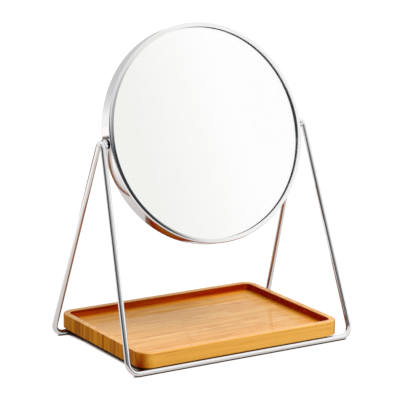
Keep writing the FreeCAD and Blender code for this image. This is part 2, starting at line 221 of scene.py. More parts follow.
FLOAT, VECTOR = "NodeSocketFloat", "NodeSocketVector"

WIPED_STRETCH = (1.0, 1.0, 0.25)
WIPED_STREAKS, WIPED_PATCHES = (0.5, 0.8), (0.4, 0.7)


def surface_marks_group():
    """Fine wiping marks and a slow ripple, for plated metal, plastic and glass."""
    group, given, result = new_group("surface marks", "ShaderNodeTree", [
        ("Position", VECTOR, None), ("Mark Size", FLOAT, 0.002), ("Ripple Size", FLOAT, 0.02),
        ("Base Roughness", FLOAT, 0.05), ("Mark Roughness", FLOAT, 0.1),
    ], [("Roughness", FLOAT, None), ("Height", FLOAT, None), ("Marks", FLOAT, None)])
    mark_scale = maths(group, "DIVIDE", 1.0, given.outputs["Mark Size"])
    ripple_scale = maths(group, "DIVIDE", 1.0, given.outputs["Ripple Size"])
    streaks = noise(group, scaled(group, given.outputs["Position"], WIPED_STRETCH),
                    mark_scale, detail=4.0, roughness=0.62)
    patches = noise(group, given.outputs["Position"], ripple_scale)
    marks = maths(group, "MULTIPLY", ramp_between(group, streaks, *WIPED_STREAKS),
                  ramp_between(group, patches, *WIPED_PATCHES))
    roughness = maths(group, "MULTIPLY_ADD", marks, given.outputs["Mark Roughness"],
                      given.outputs["Base Roughness"])
    feed(group, result, {"Roughness": roughness, "Height": patches, "Marks": marks})
    return group


# Along the strips, across them and up: how far each pattern is drawn out.
FIBRE_STRETCH = (0.012, 1.0, 0.6)
STREAK_STRETCH, STREAK_SCALE = (0.04, 1.0, 1.2), 230.0
DRIFT_STRETCH, DRIFT_SCALE = (0.22, 1.0, 0.8), 42.0

# How much the strip, the slow drift and the streaks each change the tone.
STRIP_TONE, DRIFT_TONE, STREAK_TONE = 0.55, 0.9, 1.7

# How far strips are shifted lengthwise against each other, and how their widths wander.
STRIP_SHIFT, PLAY_SCALE = 3.7, 0.43

# The knuckles, in metres: how far their edges bow, and where they fade.
KNUCKLE_BOW, KNUCKLE_BAND = 0.004, (0.0002, 0.0022)


def bamboo_group():
    """Bamboo strips glued side by side: their tones, glue lines, fibres and knuckles."""
    group, given, result = new_group("bamboo strips", "ShaderNodeTree", [
        ("Position", VECTOR, None), ("Strip Width", FLOAT, 0.0055), ("Width Play", FLOAT, 0.7),
        ("Knuckle Pitch", FLOAT, 0.23), ("Fibre Size", FLOAT, 0.0009),
        ("Glue Line", FLOAT, 0.0002),
    ], [("Tone", FLOAT, None), ("Fibre", FLOAT, None), ("Glue", FLOAT, None),
        ("Knuckle", FLOAT, None), ("Streak", FLOAT, None), ("Board", FLOAT, None)])
    along, across, up = node(group, "ShaderNodeSeparateXYZ",
                             {0: given.outputs["Position"]}).outputs
    strips = maths(group, "DIVIDE", across, given.outputs["Strip Width"])
    play = node(group, "ShaderNodeTexNoise", {"W": strips, "Scale": PLAY_SCALE, "Detail": 0.0},
                noise_dimensions="1D").outputs["Fac"]
    strips = maths(group, "MULTIPLY_ADD", play, given.outputs["Width Play"], strips)
    number = maths(group, "FLOOR", strips)
    share = maths(group, "FRACT", strips)
    chance = node(group, "ShaderNodeTexWhiteNoise", {"W": number}, noise_dimensions="1D")
    first, second, third = node(group, "ShaderNodeSeparateColor",
                                {0: chance.outputs["Color"]}).outputs

    edge = maths(group, "MINIMUM", share, maths(group, "SUBTRACT", 1.0, share))
    edge = maths(group, "MULTIPLY", edge, given.outputs["Strip Width"])
    glue = ramp_between(group, edge, 0.0, given.outputs["Glue Line"], 1.0, 0.0)

    shifted = node(group, "ShaderNodeCombineXYZ", {
        "X": maths(group, "MULTIPLY_ADD", first, STRIP_SHIFT, along),
        "Y": across, "Z": up}).outputs["Vector"]
    fibre_scale = maths(group, "DIVIDE", 1.0, given.outputs["Fibre Size"])
    fibre = noise(group, scaled(group, shifted, FIBRE_STRETCH), fibre_scale,
                  detail=3.0, roughness=0.6)
    streak = noise(group, scaled(group, shifted, STREAK_STRETCH), STREAK_SCALE,
                   detail=4.0, roughness=0.62)
    drift = noise(group, scaled(group, shifted, DRIFT_STRETCH), DRIFT_SCALE, detail=1.0)

    bow = maths(group, "MULTIPLY", maths(group, "SUBTRACT", fibre, 0.5), KNUCKLE_BOW)
    place = maths(group, "DIVIDE", maths(group, "ADD", along, bow),
                  given.outputs["Knuckle Pitch"])
    place = maths(group, "FRACT", maths(group, "ADD", place, second))
    away = maths(group, "ABSOLUTE", maths(group, "SUBTRACT", place, 0.5))
    away = maths(group, "MULTIPLY", away, given.outputs["Knuckle Pitch"])
    knuckle = ramp_between(group, away, *KNUCKLE_BAND, 1.0, 0.0)

    tone = maths(group, "MULTIPLY_ADD", maths(group, "SUBTRACT", third, 0.5), STRIP_TONE, 0.5)
    tone = maths(group, "MULTIPLY_ADD", maths(group, "SUBTRACT", drift, 0.5), DRIFT_TONE, tone)
    tone = maths(group, "MULTIPLY_ADD", maths(group, "SUBTRACT", streak, 0.5), STREAK_TONE,
                 tone, clamp=True)
    feed(group, result, {"Tone": tone, "Fibre": fibre, "Glue": glue, "Knuckle": knuckle,
                         "Streak": streak, "Board": third})
    return group


SURFACE_MARKS = surface_marks_group()
BAMBOO_STRIPS = bamboo_group()


# ---------------------------------------------------------------- materials

PLATING_MARK_SIZE, PLATING_MARK_TONE = 0.0022, 0.93
MOULDED_RIPPLE_SIZE, MOULDED_MARK_ROUGHNESS = 0.012, 0.15
MOULDED_GRAIN, MOULDED_MOTTLE, MOULDED_GLINT = (0.35, 0.7), 0.12, 0.001
GLASS_CLEAN, GLASS_WIPED = (0.998, 1.0, 0.998, 1.0), (0.99, 0.995, 0.992, 1.0)


def plated(name, tint, base_roughness, mark_roughness, ripple_size, ripple_depth):
    """Bright plated steel with faint wiping marks."""
    material, tree, shader, coordinates = new_material(name)
    marks = place_group(tree, SURFACE_MARKS, {
        "Position": coordinates.outputs["Object"], "Mark Size": PLATING_MARK_SIZE,
        "Ripple Size": ripple_size, "Base Roughness": base_roughness,
        "Mark Roughness": mark_roughness})
    dulled = tuple(channel * PLATING_MARK_TONE for channel in tint[:3]) + (1.0,)
    feed(tree, shader, {"Base Color": blend_colours(tree, marks["Marks"], tint, dulled),
                        "Roughness": marks["Roughness"], "Metallic": 1.0})
    relief(tree, shader, marks["Height"], ripple_depth)
    return material


def moulded(name, tint, roughness, grain_size, grain_depth):
    """Plastic, board or foam with a fine grain."""
    material, tree, shader, coordinates = new_material(name)
    position = coordinates.outputs["Object"]
    marks = place_group(tree, SURFACE_MARKS, {
        "Position": position, "Mark Size": grain_size, "Ripple Size": MOULDED_RIPPLE_SIZE,
        "Base Roughness": roughness, "Mark Roughness": MOULDED_MARK_ROUGHNESS})
    speckle = noise(tree, position, 1.0 / grain_size, detail=3.0, roughness=0.6)
    grain = ramp_between(tree, speckle, *MOULDED_GRAIN)
    lighter = tuple(min(1.0, channel * (1 + 2 * MOULDED_MOTTLE) + MOULDED_GLINT)
                    for channel in tint[:3]) + (1.0,)
    feed(tree, shader, {"Base Color": blend_colours(tree, grain, tint, lighter),
                        "Roughness": marks["Roughness"], "Specular IOR Level": 0.2})
    relief(tree, shader, speckle, grain_depth, strength=0.6)
    return material


def clear_glass():
    """The clear pane over the silver, a little green, with faint wiping marks."""
    material, tree, shader, coordinates = new_material("clear_glass")
    marks = place_group(tree, SURFACE_MARKS, {
        "Position": coordinates.outputs["Object"], "Mark Size": 0.004, "Ripple Size": 0.05,
        "Base Roughness": 0.0, "Mark Roughness": 0.012})
    feed(tree, shader, {
        "Base Color": blend_colours(tree, marks["Marks"], GLASS_CLEAN, GLASS_WIPED),
        "Roughness": marks["Roughness"], "IOR": 1.5, "Transmission Weight": 1.0})
    return material


BAMBOO_PALE = (0.95, 0.57, 0.220, 1.0)
BAMBOO_DEEP = (0.80, 0.37, 0.080, 1.0)
BAMBOO_SIDE_PALE = (0.75, 0.40, 0.086, 1.0)
BAMBOO_SIDE_DEEP = (0.59, 0.27, 0.032, 1.0)
BAMBOO_END_PALE = (0.70, 0.262, 0.002, 1.0)
BAMBOO_END_DEEP = (0.38, 0.092, 0.001, 1.0)
BAMBOO_PORE = (0.46, 0.140, 0.012, 1.0)
BAMBOO_RUSSET = (0.72, 0.29, 0.070, 1.0)
# Painted light: a brighter, deeper orange at the foot of the recess walls, lifting the shade
# there.
BAMBOO_FOOT_PAINTED_LIGHT = (0.98, 0.42, 0.020, 1.0)
# Painted shade: the recess walls darker and redder, where the mirror head and the recess shade
# them, with paler streaks.
BAMBOO_WALL_PAINTED_SHADE = (0.34, 0.012, 0.001, 1.0)
BAMBOO_WALL_PAINTED_SHADE_PALE = (0.54, 0.065, 0.001, 1.0)
# Painted shade: the inner right wall, which faces left, darker and redder still.
BAMBOO_RIGHT_WALL_PAINTED_SHADE = (0.76, 0.25, 0.50, 1.0)
# The front left corner: made redder, and darker towards its middle.
BAMBOO_CORNER_REDDENING = (1.0, 0.97, 0.10, 1.0)
BAMBOO_CORNER_DARK = (0.29, 0.010, 0.001, 1.0)
# Painted shade: the tray darker and browner where bright metal mirrors it, except on its recess
# walls.
BAMBOO_PAINTED_REFLECTION_SHADE = (0.36, 0.22, 0.12, 1.0)

# The part of the facing at which each kind of face starts and is complete.
END_FACES, UPWARD_FACES, RIGHT_WALL_FACES = (0.35, 0.8), (0.3, 0.95), (-0.9, -0.3)
END_STRIP_WIDTH, END_WIDTH_PLAY, END_FIBRE_TONE = 0.0034, 1.1, 0.8
PORE_FIBRES, PORE_SHARE, GLUE_SHARE, KNUCKLE_SHARE = (0.54, 0.70), 0.6, 0.4, 0.2
BLOTCH_STRETCH, BLOTCH_SCALE = (0.22, 1.0, 1.0), 150.0
RUSSET_BLOTCHES, RUSSET_SHARE = (0.50, 0.66), 0.8
WALL_STREAKS = (0.38, 0.66)
CORNER_REDDENING_SPREAD = 2.4
FIBRE_ROUGHNESS, LEAST_ROUGHNESS = 0.14, 0.40
GLUE_DEPTH, GRAIN_DEPTH = -0.6, 0.00006

# Where the floor's lacquer thins out towards the back and right, and the rim's starts, in metres.
COAT_SHARE = 0.5
COAT_BACK_END, COAT_RIGHT_END, COAT_RIM_START = (0.040, 0.052), (0.078, 0.088), (0.012, 0.014)


def bamboo_wood(tree, coordinates, strips, facing, upward, foot):
    """The wood's colour: long grain, end grain, routed wall in painted shade, painted light at its
    foot, a darker front left corner, painted shade in reflections.
    """
    position = coordinates.outputs["Object"]
    wall = attribute(tree, "recess_wall_shade")
    corner = attribute(tree, "corner_dark")
    side_grain = blend_colours(tree, strips["Tone"], BAMBOO_SIDE_DEEP, BAMBOO_SIDE_PALE)
    top_grain = blend_colours(tree, strips["Tone"], BAMBOO_DEEP, BAMBOO_PALE)
    long_grain = blend_colours(tree, upward, side_grain, top_grain)

    ends = place_group(tree, BAMBOO_STRIPS, {"Position": position,
                                             "Strip Width": END_STRIP_WIDTH,
                                             "Width Play": END_WIDTH_PLAY})
    end_tone = maths(tree, "MULTIPLY_ADD", maths(tree, "SUBTRACT", strips["Fibre"], 0.5),
                     END_FIBRE_TONE, ends["Board"], clamp=True)
    end_grain = blend_colours(tree, end_tone, BAMBOO_END_DEEP, BAMBOO_END_PALE)
    end_share = ramp_between(tree, maths(tree, "ABSOLUTE", facing["X"]), *END_FACES)
    wood = blend_colours(tree, end_share, long_grain, end_grain)

    pores = ramp_between(tree, strips["Fibre"], *PORE_FIBRES)
    for marks, share in ((pores, PORE_SHARE), (strips["Glue"], GLUE_SHARE),
                         (strips["Knuckle"], KNUCKLE_SHARE)):
        wood = blend_colours(tree, maths(tree, "MULTIPLY", marks, share), wood, BAMBOO_PORE)
    blotches = noise(tree, scaled(tree, position, BLOTCH_STRETCH), BLOTCH_SCALE,
                     detail=6.0, roughness=0.74)
    russet = maths(tree, "MULTIPLY", ramp_between(tree, blotches, *RUSSET_BLOTCHES),
                   RUSSET_SHARE)
    wood = blend_colours(tree, maths(tree, "MULTIPLY", russet, upward), wood, BAMBOO_RUSSET)
    # Painted light at the foot of the recess walls, over the fillet and a band of the floor.
    wood = blend_colours(tree, foot, wood, BAMBOO_FOOT_PAINTED_LIGHT)

    # Painted shade on the recess walls, streaked by the grain.
    streaks = ramp_between(tree, strips["Streak"], *WALL_STREAKS)
    shaded_wall_wood = blend_colours(tree, streaks, BAMBOO_WALL_PAINTED_SHADE, BAMBOO_WALL_PAINTED_SHADE_PALE)
    # Painted shade, deeper on the inner right wall, which faces left.
    right_wall_shade = ramp_between(tree, facing["X"], *RIGHT_WALL_FACES, 1.0, 0.0)
    shaded_wall_wood = blend_colours(tree, right_wall_shade, shaded_wall_wood, BAMBOO_RIGHT_WALL_PAINTED_SHADE, "MULTIPLY")
    wood = blend_colours(tree, wall, wood, shaded_wall_wood)

    # The front left corner made redder, then darker.
    reddened = maths(tree, "MULTIPLY", corner, CORNER_REDDENING_SPREAD, clamp=True)
    wood = blend_colours(tree, reddened, wood, BAMBOO_CORNER_REDDENING, "MULTIPLY")
    wood = blend_colours(tree, corner, wood, BAMBOO_CORNER_DARK)
    # Painted shade in reflections: glossy rays see the tray darker, except its recess walls.
    mirrored = tree.nodes.new("ShaderNodeLightPath").outputs["Is Glossy Ray"]
    mirrored = maths(tree, "MULTIPLY", mirrored, maths(tree, "SUBTRACT", 1.0, wall))
    return blend_colours(tree, mirrored, wood, BAMBOO_PAINTED_REFLECTION_SHADE, "MULTIPLY")


def bamboo_coat(tree, position, upward, foot):
    """How much lacquer there is: on upward faces, less of it near the back and right walls."""
    across, away_back, up = node(tree, "ShaderNodeSeparateXYZ", {0: position}).outputs
    lacquered = maths(tree, "MINIMUM",
                      ramp_between(tree, away_back, *COAT_BACK_END, 1.0, 0.0),
                      ramp_between(tree, across, *COAT_RIGHT_END, 1.0, 0.0))
    lacquered = maths(tree, "MAXIMUM", lacquered, ramp_between(tree, up, *COAT_RIM_START))
    coat = maths(tree, "MULTIPLY", upward, COAT_SHARE)
    coat = maths(tree, "MULTIPLY", coat, maths(tree, "SUBTRACT", 1.0, foot))
    return maths(tree, "MULTIPLY", coat, lacquered)


def bamboo():
    """Carbonised bamboo under a satin lacquer."""
    material, tree, shader, coordinates = new_material("bamboo")
    position = coordinates.outputs["Object"]
    facing = node(tree, "ShaderNodeSeparateXYZ", {0: coordinates.outputs["Normal"]}).outputs
    upward = ramp_between(tree, facing["Z"], *UPWARD_FACES)
    foot = attribute(tree, "wall_foot_light")
    strips = place_group(tree, BAMBOO_STRIPS, {"Position": position})
    feed(tree, shader, {
        "Base Color": bamboo_wood(tree, coordinates, strips, facing, upward, foot),
        "Roughness": maths(tree, "MULTIPLY_ADD", strips["Fibre"], FIBRE_ROUGHNESS,
                           LEAST_ROUGHNESS),
        "IOR": 1.5, "Specular IOR Level": 0.03,
        "Coat Weight": bamboo_coat(tree, position, upward, foot),
        "Coat Roughness": 0.07, "Coat IOR": 1.65})
    height = maths(tree, "MULTIPLY_ADD", strips["Glue"], GLUE_DEPTH, strips["Fibre"])
    relief(tree, shader, height, GRAIN_DEPTH)
    return material


CHROME_TINT = (0.88, 0.885, 0.89, 1.0)
RIM_TINT = (0.88, 0.88, 0.89, 1.0)

# Tint, roughness, the marks' added roughness, ripple size and ripple depth in metres.
PLATED = {
    "chrome_wire": (CHROME_TINT, 0.035, 0.10, 0.03, 0.00004),
    "chrome_rim": (RIM_TINT, 0.05, 0.08, 0.025, 0.00004),
    "spring_steel": ((0.50, 0.49, 0.47, 1.0), 0.25, 0.2, 0.01, 0.00002),
    "zinc_screw": ((0.62, 0.64, 0.66, 1.0), 0.22, 0.2, 0.01, 0.00002),
    "silvering": ((0.985, 0.985, 0.985, 1.0), 0.0, 0.004, 0.2, 0.0),
}
# Tint, roughness, grain size and grain depth in metres.
MOULDED = {
    "black_nylon": ((0.003, 0.003, 0.003, 1.0), 0.55, 0.0006, 0.00003),
    "foam": ((0.80, 0.79, 0.75, 1.0), 0.85, 0.0008, 0.0001),
    "board": ((0.30, 0.21, 0.13, 1.0), 0.7, 0.0012, 0.00005),
}
FINISHES = {name: plated(name, *values) for name, values in PLATED.items()}
FINISHES.update({name: moulded(name, *values) for name, values in MOULDED.items()})
FINISHES.update({"clear_glass": clear_glass(), "bamboo": bamboo()})


# ---------------------------------------------------------------- mesh helpers

def new_object(name, mesh):
    """An object linked to the scene, at the origin."""
    made = bpy.data.objects.new(name, mesh)
    bpy.context.scene.collection.objects.link(made)
    return made


def evaluated_mesh(thing):
    """A plain mesh of an object with its modifiers applied."""
    depsgraph = bpy.context.evaluated_depsgraph_get()
    return bpy.data.meshes.new_from_object(thing.evaluated_get(depsgraph))


def drop(thing):
    """Take a helper object away."""
    bpy.data.objects.remove(thing)


def smooth(mesh, angle=SHARP_ANGLE):
    """Smooth shading, broken at the real edges."""
    mesh.shade_smooth()
    mesh.set_sharp_from_angle(angle=angle)


def even_normals(mesh):
    """The mesh with normals that keep its large faces flat beside their rounds."""
    thing = new_object("shading", mesh)
    weighted = thing.modifiers.new("weighted", "WEIGHTED_NORMAL")
    weighted.keep_sharp = True
    result = evaluated_mesh(thing)
    drop(thing)
    return result


def arc(centre, radius, start, end, steps):
    """Points of an arc in a profile, between two angles in degrees."""
    points = []
    for step in range(steps + 1):
        angle = math.radians(start + (end - start) * step / steps)
        points.append((centre[0] + radius * math.cos(angle), centre[1] + radius * math.sin(angle)))
    return points


def turned(name, profile, steps, place=Matrix.Identity(4)):
    """A mesh turned about Z from a profile of (radius, height) points.

    A profile that starts and ends on the axis makes a disc; any other is closed to a ring."""
    mesh = bpy.data.meshes.new(name)
    shape = bmesh.new()
    rings = []
    for radius, height in profile:
        if radius < ON_AXIS:
            rings.append([shape.verts.new((0, 0, height * MM))] * steps)
            continue
        ring = []
        for step in range(steps):
            angle = 2 * math.pi * step / steps
            ring.append(shape.verts.new((radius * MM * math.cos(angle),
                                         radius * MM * math.sin(angle), height * MM)))
        rings.append(ring)
    pairs = list(zip(rings, rings[1:]))
    if profile[0][0] > ON_AXIS:
        pairs.append((rings[-1], rings[0]))
    for low, high in pairs:
        for step in range(steps):
            after = (step + 1) % steps
            corners = []
            for corner in (low[step], low[after], high[after], high[step]):
                if corner not in corners:
                    corners.append(corner)
            shape.faces.new(corners)
    bmesh.ops.recalc_face_normals(shape, faces=shape.faces)
    shape.transform(place)
    shape.to_mesh(mesh)
    shape.free()
    return mesh


def facing_out(mesh):
    """Turn every face of a closed mesh outwards."""
    shape = bmesh.new()
    shape.from_mesh(mesh)
    bmesh.ops.recalc_face_normals(shape, faces=shape.faces)
    shape.to_mesh(mesh)
    shape.free()


def cut(mesh, tool_mesh):
    """The mesh less a tool."""
    thing = new_object("work", mesh)
    tool = new_object("tool", tool_mesh)
    boolean = thing.modifiers.new("cut", "BOOLEAN")
    boolean.operation = "DIFFERENCE"
    boolean.solver = "EXACT"
    boolean.object = tool
    result = evaluated_mesh(thing)
    drop(thing)
    drop(tool)
    return result


# ---------------------------------------------------------------- geometry node trees

def grown(tree, start_mesh, values):
    """A plain mesh from a geometry node tree run on a start mesh, its inputs set by name."""
    thing = new_object("start", start_mesh)
    modifier = thing.modifiers.new("grow", "NODES")
    modifier.node_group = tree
    identifiers = {item.name: item.identifier for item in tree.interface.items_tree
                   if item.in_out == "INPUT"}
    for name, value in values.items():
        modifier[identifiers[name]] = value
    result = evaluated_mesh(thing)
    drop(thing)
    return result


GEOMETRY, WHOLE, MATERIAL = "NodeSocketGeometry", "NodeSocketInt", "NodeSocketMaterial"


def bent_wire_tree():
    """Round wire along a loop of straight runs, bent at each corner to its own radius."""
    tree, given, result = new_group("bent wire", "GeometryNodeTree", [
        ("Corners", GEOMETRY, None), ("Wire Diameter", FLOAT, 0.005),
        ("Sides Round", WHOLE, 48), ("Steps In Bend", WHOLE, 24), ("Finish", MATERIAL, None),
    ], [("Wire", GEOMETRY, None)])
    loop = node(tree, "GeometryNodeMeshToCurve", {"Mesh": given.outputs["Corners"]})
    radius = node(tree, "GeometryNodeInputNamedAttribute", {"Name": "bend_radius"},
                  data_type="FLOAT")
    bent = node(tree, "GeometryNodeFilletCurve", {
        "Curve": loop.outputs["Curve"], "Count": given.outputs["Steps In Bend"],
        "Radius": radius.outputs["Attribute"]}, mode="POLY")
    half = maths(tree, "MULTIPLY", given.outputs["Wire Diameter"], 0.5)
    section = node(tree, "GeometryNodeCurvePrimitiveCircle", {
        "Resolution": given.outputs["Sides Round"], "Radius": half}, mode="RADIUS")
    swept = node(tree, "GeometryNodeCurveToMesh", {
        "Curve": bent.outputs["Curve"], "Profile Curve": section.outputs["Curve"]})
    shaded = node(tree, "GeometryNodeSetShadeSmooth", {"Geometry": swept.outputs["Mesh"]})
    real = node(tree, "GeometryNodeRealizeInstances", {"Geometry": shaded.outputs["Geometry"]})
    painted = node(tree, "GeometryNodeSetMaterial", {
        "Geometry": real.outputs["Geometry"], "Material": given.outputs["Finish"]})
    join(tree, painted.outputs["Geometry"], result.inputs["Wire"])
    return tree


def pivot_pair_tree():
    """One turned part put on both pivots, facing outwards, at a distance from the middle."""
    tree, given, result = new_group("pivot pair", "GeometryNodeTree", [
        ("Part", GEOMETRY, None), ("Reach", FLOAT, 0.1), ("Pivot", VECTOR, None),
        ("Finish", MATERIAL, None),
    ], [("Pair", GEOMETRY, None)])
    span = node(tree, "ShaderNodeCombineXYZ", {"X": given.outputs["Reach"]})
    left = node(tree, "ShaderNodeVectorMath", {
        0: given.outputs["Pivot"], 1: span.outputs["Vector"]}, operation="SUBTRACT")
    right = node(tree, "ShaderNodeVectorMath", {
        0: given.outputs["Pivot"], 1: span.outputs["Vector"]}, operation="ADD")
    places = node(tree, "GeometryNodeMeshLine", {
        "Count": 2, "Start Location": left.outputs["Vector"],
        "Offset": right.outputs["Vector"]}, mode="END_POINTS")
    index = node(tree, "GeometryNodeInputIndex").outputs["Index"]
    turn = maths(tree, "MULTIPLY_ADD", index, math.pi, -math.pi / 2)
    turned_to = node(tree, "ShaderNodeCombineXYZ", {"Y": turn})
    copies = node(tree, "GeometryNodeInstanceOnPoints", {
        "Points": places.outputs["Mesh"], "Instance": given.outputs["Part"],
        "Rotation": turned_to.outputs["Vector"]})
    real = node(tree, "GeometryNodeRealizeInstances", {"Geometry": copies.outputs["Instances"]})
    painted = node(tree, "GeometryNodeSetMaterial", {
        "Geometry": real.outputs["Geometry"], "Material": given.outputs["Finish"]})
    join(tree, painted.outputs["Geometry"], result.inputs["Pair"])
    return tree


BENT_WIRE = bent_wire_tree()
PIVOT_PAIR = pivot_pair_tree()


# ---------------------------------------------------------------- stand

def stand_wire():
    """The stand: one closed loop of wire, with two bars and two crowns."""
    front = PIVOT.y - STAND_DEPTH / 2
    back = front + STAND_DEPTH
    level = WIRE_DIAMETER / 2
    corners = [
        (-STAND_HALF_WIDTH, back, level, BAR_BEND),
        (STAND_HALF_WIDTH, back, level, BAR_BEND),
        (APEX_HALF_WIDTH, PIVOT.y, APEX_HEIGHT, CROWN_BEND),
        (STAND_HALF_WIDTH, front, level, BAR_BEND),
        (-STAND_HALF_WIDTH, front, level, BAR_BEND),
        (-APEX_HALF_WIDTH, PIVOT.y, APEX_HEIGHT, CROWN_BEND),
    ]
    loop = bpy.data.meshes.new("wire_corners")
    count = len(corners)
    loop.from_pydata([Vector(corner[:3]) * MM for corner in corners],
                     [(index, (index + 1) % count) for index in range(count)], [])
    bends = loop.attributes.new("bend_radius", "FLOAT", "POINT")
    for index, corner in enumerate(corners):
        bends.data[index].value = corner[3] * MM
    mesh = grown(BENT_WIRE, loop, {
        "Wire Diameter": WIRE_DIAMETER * MM, "Sides Round": WIRE_SIDES,
        "Steps In Bend": WIRE_BEND_STEPS, "Finish": FINISHES["chrome_wire"]})
    facing_out(mesh)
    return mesh


def paired(part, reach, finish):
    """A turned part put on both pivots."""
    return grown(PIVOT_PAIR, part, {"Reach": reach * MM, "Pivot": PIVOT * MM,
                                    "Finish": FINISHES[finish]})


def pivot_bosses(wire_mesh):
    """The tapped bosses, coped to sit on the crowns of the wire."""
    face = RING_RADIUS + PIVOT_PLAY + FRICTION_WASHER_THICKNESS
    length = BOSS_END - face
    outer, bore = BOSS_DIAMETER / 2, BOSS_TAPPING / 2
    part = turned("pivot_boss", [
        (bore, 0.0), (outer - BOSS_EDGE, 0.0), (outer - BOSS_EDGE_IN, BOSS_EDGE_UP),
        (outer, BOSS_EDGE), (outer, length), (bore, length)], SMALL_RING_STEPS)
    mesh = cut(paired(part, face, "chrome_rim"), wire_mesh.copy())
    smooth(mesh)
    return mesh


def friction_washers():
    """The black washers between the bosses and the rim."""
    outer, bore = FRICTION_WASHER_DIAMETER / 2, WASHER_BORE / 2
    edge, high = FRICTION_WASHER_EDGE, FRICTION_WASHER_THICKNESS
    part = turned("friction_washer", [
        (bore, 0.0), (outer - edge, 0.0), (outer, edge), (outer, high - edge),
        (outer - edge, high), (bore, high)], SMALL_RING_STEPS)
    mesh = paired(part, RING_RADIUS + PIVOT_PLAY, "black_nylon")
    smooth(mesh)
    return mesh


# ---------------------------------------------------------------- mirror head

HEAD_PLACE = (Matrix.Translation(PIVOT * MM)
              @ Matrix.Rotation(math.radians(90 - MIRROR_TILT), 4, "X"))


def pivot_drill():
    """A rod along the pivot axis, as wide as the rims' bores."""
    reach = RING_RADIUS + DRILL_OVERRUN
    along_x = Matrix.Translation(PIVOT * MM) @ Matrix.Rotation(math.radians(90), 4, "Y")
    bore = PIVOT_BORE / 2
    return turned("drill", [(0, -reach), (bore, -reach), (bore, reach), (0, reach)],
                  SMALL_RING_STEPS, along_x)


def crowned_lip(outer_round):
    """A lip that falls away a little from its inner edge, crest at zero, out to the band."""
    lip = LIP_EDGE_ROUND
    inner, outer = LIP_INNER_LEAN, LIP_OUTER_LEAN
    inner_degrees, outer_degrees = 90 - math.degrees(inner), 90 - math.degrees(outer)
    points = arc((VIEW_RADIUS + lip, -lip), lip, 180, inner_degrees, LIP_EDGE_STEPS)
    start_x, start_y = points[-1]
    end_x = RING_RADIUS - outer_round * (1 - math.sin(outer))
    crown = (end_x - start_x) / (math.sin(outer) - math.sin(inner))
    points += arc((start_x - crown * math.sin(inner), start_y - crown * math.cos(inner)), crown,
                  inner_degrees, outer_degrees, LIP_CROWN_STEPS)[1:]
    end_y = points[-1][1]
    points += arc((RING_RADIUS - outer_round, end_y - outer_round * math.cos(outer)),
                  outer_round, outer_degrees, 0, LIP_BAND_STEPS)[1:]
    return points


def pressed_rim(name, profile):
    """A rim turned from its profile, drilled for the pivots."""
    mesh = cut(turned(name, profile, RING_STEPS, HEAD_PLACE), pivot_drill())
    smooth(mesh)
    return even_normals(mesh)


def front_rim():
    """The drawn ring with the front lip."""
    high, inner_round = RING_HALF_THICKNESS, FRONT_ROUND - SHEET
    profile = [(VIEW_RADIUS, LENS_FACE)]
    profile += [(radius, high + height) for radius, height in crowned_lip(FRONT_ROUND)]
    profile += [(RING_RADIUS, SEAM), (RING_RADIUS - SHEET, SEAM)]
    profile += arc((RING_RADIUS - FRONT_ROUND, LENS_FACE - inner_round), inner_round, 0, 90,
                   LIP_BACK_STEPS)
    return pressed_rim("front_rim", profile)


def rear_rim():
    """The ring with the rear lip, its band pressed up inside the front ring."""
    profile = [(VIEW_RADIUS, -LENS_FACE)]
    profile += [(radius, -RING_HALF_THICKNESS - height)
                for radius, height in crowned_lip(REAR_ROUND)]
    profile += [(RING_RADIUS, SEAM), (REAR_BAND, SEAM), (REAR_BAND, REAR_BAND_END),
                (REAR_BAND_BORE, REAR_BAND_END), (REAR_BAND_BORE, -LENS_FACE)]
    return pressed_rim("rear_rim", profile)


def flat_face(height, edge):
    """A flat face, from the axis out to where its edge begins."""
    return [(0.0, height), (GLASS_RADIUS - edge, height)]


def dished_face(depth, edge):
    """A face of the dished glass, a depth in front of its rear one."""
    middle = -LENS_FACE - math.sqrt(DISH_RADIUS ** 2 - GLASS_RADIUS ** 2)
    points = []
    for step in range(DISH_STEPS + 1):
        radius = (GLASS_RADIUS - edge) * step / DISH_STEPS
        points.append((radius, middle + math.sqrt((DISH_RADIUS + depth) ** 2 - radius ** 2)))
    return points


def mirror_layer(name, low, high, edge):
    """A turned pane or silver layer between two faces, with its edges taken off."""
    profile = low + [(GLASS_RADIUS, low[-1][1] + edge), (GLASS_RADIUS, high[-1][1] - edge)]
    mesh = turned(name, profile + high[::-1], RING_STEPS, HEAD_PLACE)
    smooth(mesh, GLASS_SHARP_ANGLE)
    return mesh


def plain_mirror():
    """The flat glass and the silver behind it."""
    silver_low = LENS_FACE - GLASS_THICKNESS
    silver_high = silver_low + SILVER_THICKNESS
    edge, thin = GLASS_EDGE, SILVER_THICKNESS / 4
    pane = mirror_layer("plain_pane", flat_face(silver_high + SILVER_GAP, edge),
                        flat_face(LENS_FACE, edge), edge)
    silver = mirror_layer("plain_silver", flat_face(silver_low, thin),
                          flat_face(silver_high, thin), thin)
    return pane, silver


def magnifying_mirror():
    """The dished glass and the silver on its inner side."""
    edge, thin = GLASS_EDGE, SILVER_THICKNESS / 4
    silver_depth = GLASS_THICKNESS - SILVER_THICKNESS
    pane = mirror_layer("magnifying_pane", dished_face(0.0, edge),
                        dished_face(silver_depth - SILVER_GAP, edge), edge)
    silver = mirror_layer("magnifying_silver", dished_face(silver_depth, thin),
                          dished_face(GLASS_THICKNESS, thin), thin)
    return pane, silver


# ---------------------------------------------------------------- tray

